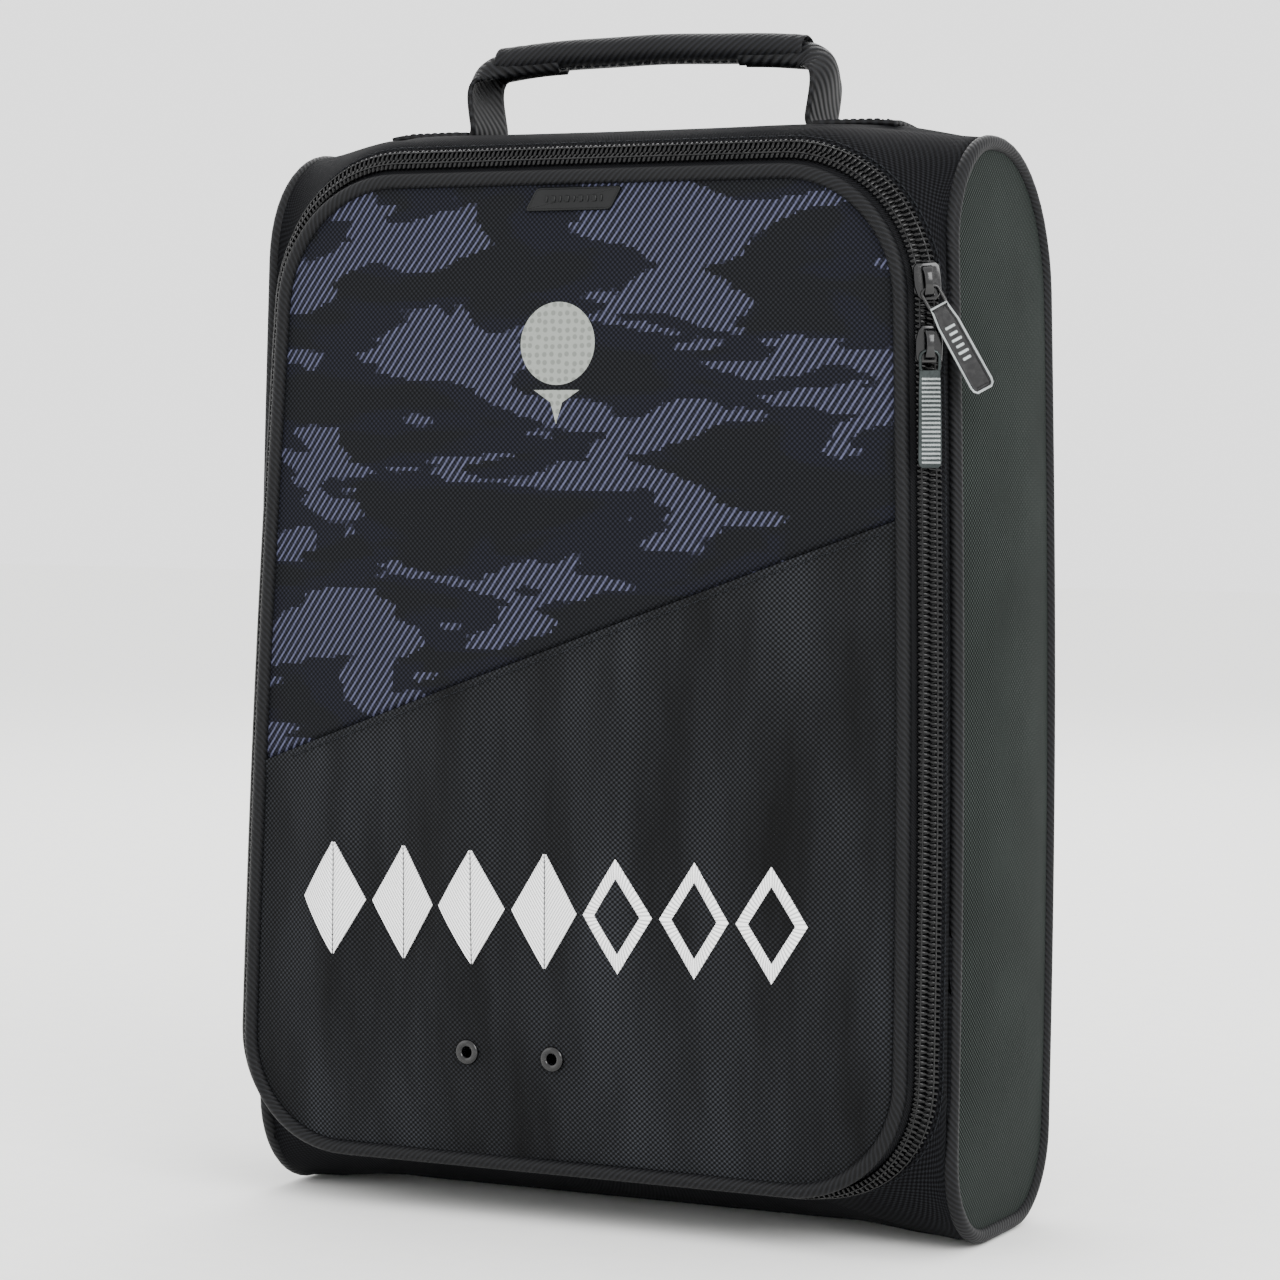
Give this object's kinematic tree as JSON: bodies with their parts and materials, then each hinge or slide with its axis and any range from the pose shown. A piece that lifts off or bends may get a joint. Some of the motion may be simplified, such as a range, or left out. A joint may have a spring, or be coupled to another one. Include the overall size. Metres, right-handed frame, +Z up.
{
  "type": "golf shoe bag",
  "caption": "Padded fabric bag for golf shoes, with a zipped D-shaped front door, a hinge band at its foot and a webbing carry handle on top.",
  "frame": {"origin": "centre of the flat base, midway between the two sides and between the front and back faces of the body", "axes": "+Z up, -Y out of the zipped door, +X to the right of someone who looks at the door"},
  "size_m": [0.2728, 0.1074, 0.398],
  "materials": {
    "wrap_fabric": "woven polyester, matt",
    "side_fabric": "woven polyester, matt",
    "piping_fabric": "twill over cord",
    "foam": "open foam padding",
    "lining": "plain woven lining",
    "binding": "ribbed binding tape",
    "board": "stiff polyethylene sheet",
    "webbing": "woven nylon webbing",
    "zip_tape": "herringbone tape",
    "zip_coil": "moulded nylon coil, glossy",
    "camouflage_fabric": "woven, printed broken stripes",
    "door_fabric": "woven polyester, matt",
    "blackened_metal": "black lacquered zinc, satin",
    "tag_rubber": "moulded, satin",
    "print": "screen printed",
    "embroidery": "satin stitch thread",
    "grip_fabric": "rolled woven polyester"
  },
  "bodies": {
    "bag": {"top_panel": "wrap_fabric", "bottom_panel": "wrap_fabric", "back_panel": "wrap_fabric", "front_frame": "wrap_fabric", "side_panel_left": "side_fabric", "side_panel_right": "side_fabric", "side_piping_left": "piping_fabric", "side_piping_right": "piping_fabric", "wrap_padding": "foam", "side_padding_left": "foam", "side_padding_right": "foam", "wrap_lining": "lining", "side_lining_left": "lining", "side_lining_right": "lining", "seam_binding_left": "binding", "seam_binding_right": "binding", "base_board": "board", "handle_reinforcement": "webbing", "handle_tab_left": "webbing", "handle_tab_right": "webbing", "zip_tape_body": "zip_tape", "zip_coil_body": "zip_coil", "zip_end_patch_left": "wrap_fabric", "zip_end_patch_right": "wrap_fabric", "hinge_band": "wrap_fabric"},
    "door": {"door_panel_upper": "camouflage_fabric", "door_panel_lower": "door_fabric", "door_padding": "foam", "door_lining": "lining", "door_piping": "piping_fabric", "zip_tape_door": "zip_tape", "zip_coil_door": "zip_coil", "eyelet_left": "blackened_metal", "eyelet_right": "blackened_metal", "eyelet_washer_left": "blackened_metal", "eyelet_washer_right": "blackened_metal", "rubber_tag": "tag_rubber", "emblem_print": "print", "diamond_embroidery": "embroidery"},
    "handle": {"handle_webbing": "webbing", "grip_sleeve": "grip_fabric"},
    "slider_upper": {"slider_upper": "blackened_metal"},
    "slider_lower": {"slider_lower": "blackened_metal"},
    "pull_upper": {"pull_upper": "blackened_metal"},
    "pull_lower": {"pull_lower": "blackened_metal"}
  },
  "joints": [
    {"name": "door_hinge", "type": "hinge", "parent": "bag", "child": "door", "pos_m": [0, -0.05412, 0.01162], "axis": [1, 0, 0], "range_deg": [0, 90], "deforming": ["hinge_band", "zip_tape_door", "zip_coil_door"]},
    {"name": "slider_upper_turn", "type": "hinge", "parent": "bag", "child": "slider_upper", "pos_m": [0.07098, -0.05165, 0.3065], "axis": [0, -1, 0], "range_deg": [0, 84]},
    {"name": "slider_lower_slide", "type": "slide", "parent": "bag", "child": "slider_lower", "axis": [0.0111, 0, -0.9999], "range_m": [0, 0.229]},
    {"name": "pull_upper_swing", "type": "hinge", "parent": "slider_upper", "child": "pull_upper", "pos_m": [0.12164, -0.05655, 0.30924], "axis": [-0.7599, -0.4289, -0.4884], "range_deg": [0, 120]},
    {"name": "pull_lower_swing", "type": "hinge", "parent": "slider_lower", "child": "pull_lower", "pos_m": [0.12184, -0.05655, 0.28949], "axis": [-0.8829, -0.4695, -0.0098], "range_deg": [0, 140]},
    {"name": "handle_fold", "type": "hinge", "parent": "bag", "child": "handle", "pos_m": [0, -0.005, 0.362], "axis": [1, 0, 0], "range_deg": [-65, 65], "stiffness_Nm_per_rad": 0.03, "deforming": ["handle_webbing"]}
  ]
}
